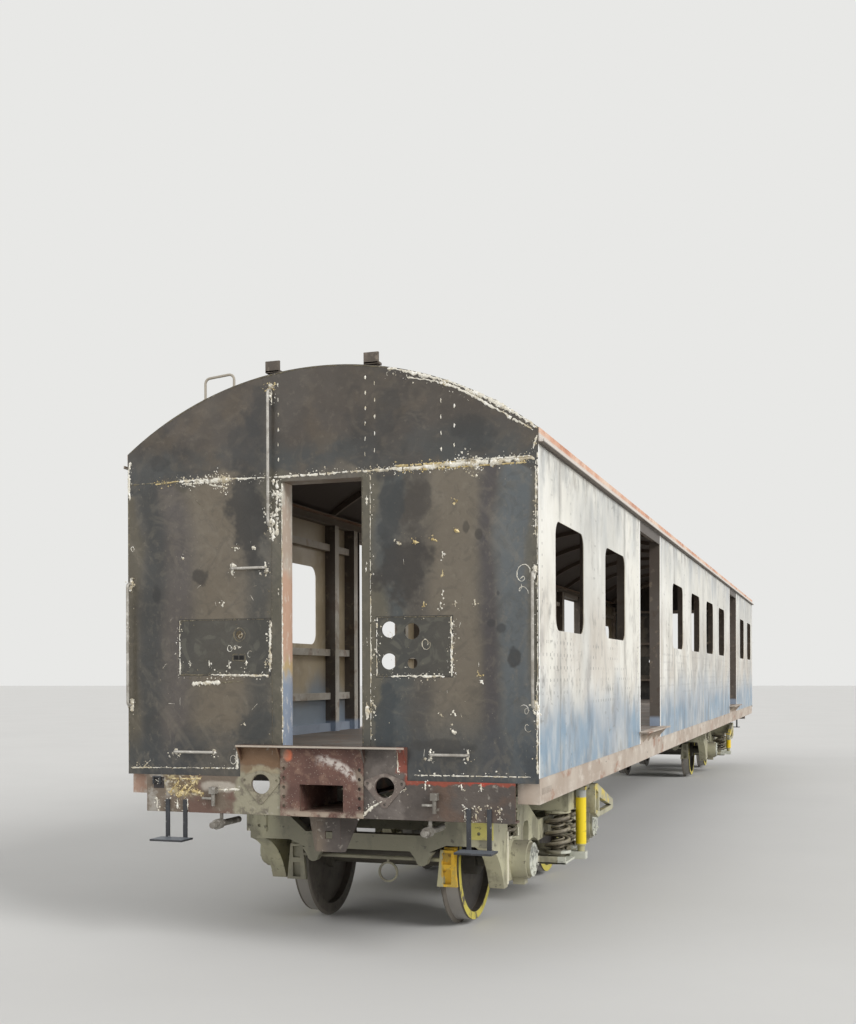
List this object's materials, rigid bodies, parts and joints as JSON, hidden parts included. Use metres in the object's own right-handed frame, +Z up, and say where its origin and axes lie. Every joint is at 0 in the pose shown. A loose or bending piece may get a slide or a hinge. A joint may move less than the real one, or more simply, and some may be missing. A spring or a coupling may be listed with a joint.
{
  "type": "passenger coach body shell on bogies",
  "caption": "Bare steel rail passenger coach under rebuild: arched roof, empty windows and doorways, open end with headstock, on two coil-sprung four-wheel bogies.",
  "frame": {"origin": "below the middle of the coach, at the level of the wheel flanges it stands on", "axes": "+Z up, Y along the coach with the pictured end at -Y, +X to the right seen from that end"},
  "size_m": [3, 18.752, 3.8188],
  "materials": {
    "bare_side_steel": "bare weathered sheet with mill scale",
    "bare_end_steel": "hot rolled sheet with heat marks",
    "roof_steel": "bare weathered sheet",
    "frame_steel": "old primer and rust",
    "primer": "red oxide primer, worn",
    "headstock_paint": "rust and old grey paint",
    "rust_plate": "rusted plate",
    "sill_paint": "faded beige paint",
    "bogie_paint": "cream paint with grime",
    "wheel_steel": "dark steel, bright treads",
    "coil_steel": "dark dirty paint",
    "damper_paint": "yellow paint",
    "black_bar": "black paint"
  },
  "bodies": {
    "coach_body": {"floor_deck": "frame_steel", "solebars": "sill_paint", "centre_sills": "frame_steel", "crossbearers": "frame_steel", "body_bolsters": "frame_steel", "side_framing_right": "frame_steel", "side_framing_left": "frame_steel", "cant_rails": "primer", "roof_sheet": "roof_steel", "roof_carlines": "frame_steel", "end_sheet_near": "bare_end_steel", "end_sheet_far": "bare_end_steel", "end_plates": "bare_end_steel", "end_framing_near": "frame_steel", "end_framing_far": "frame_steel", "door_thresholds": "sill_paint", "headstock_near": "headstock_paint", "headstock_far": "headstock_paint", "draw_plates": "rust_plate", "coupler_pockets": "rust_plate", "footsteps": "black_bar", "grab_irons": "frame_steel", "roof_fittings": "frame_steel", "air_pipes": "headstock_paint", "side_panel_right_near": "bare_side_steel", "side_panel_right_mid": "bare_side_steel", "side_panel_right_far": "bare_side_steel", "side_panel_left_near": "bare_side_steel", "side_panel_left_mid": "bare_side_steel", "side_panel_left_far": "bare_side_steel"},
    "bogie_near": {"bogie_frame_near": "bogie_paint", "bogie_bolster_near": "bogie_paint", "bogie_springs_near": "coil_steel", "axleboxes_near": "bogie_paint", "dampers_near": "damper_paint", "brake_gear_near": "damper_paint"},
    "bogie_far": {"bogie_frame_far": "bogie_paint", "bogie_bolster_far": "bogie_paint", "bogie_springs_far": "coil_steel", "axleboxes_far": "bogie_paint", "dampers_far": "damper_paint", "brake_gear_far": "damper_paint"},
    "axle_1": {"wheelset_1": "wheel_steel"},
    "axle_2": {"wheelset_2": "wheel_steel"},
    "axle_3": {"wheelset_3": "wheel_steel"},
    "axle_4": {"wheelset_4": "wheel_steel"}
  },
  "joints": [
    {"name": "bogie_near_yaw", "type": "hinge", "parent": "coach_body", "child": "bogie_near", "pos_m": [0, -6.72, 0.9], "axis": [0, 0, 1], "range_deg": [-4, 4]},
    {"name": "bogie_far_yaw", "type": "hinge", "parent": "coach_body", "child": "bogie_far", "pos_m": [0, 6.72, 0.9], "axis": [0, 0, 1], "range_deg": [-4, 4]},
    {"name": "axle_1_spin", "type": "hinge", "parent": "bogie_near", "child": "axle_1", "pos_m": [0, -7.863, 0.478], "axis": [1, 0, 0], "continuous": true},
    {"name": "axle_2_spin", "type": "hinge", "parent": "bogie_near", "child": "axle_2", "pos_m": [0, -5.577, 0.478], "axis": [1, 0, 0], "continuous": true},
    {"name": "axle_3_spin", "type": "hinge", "parent": "bogie_far", "child": "axle_3", "pos_m": [0, 5.577, 0.478], "axis": [1, 0, 0], "continuous": true},
    {"name": "axle_4_spin", "type": "hinge", "parent": "bogie_far", "child": "axle_4", "pos_m": [0, 7.863, 0.478], "axis": [1, 0, 0], "continuous": true}
  ]
}
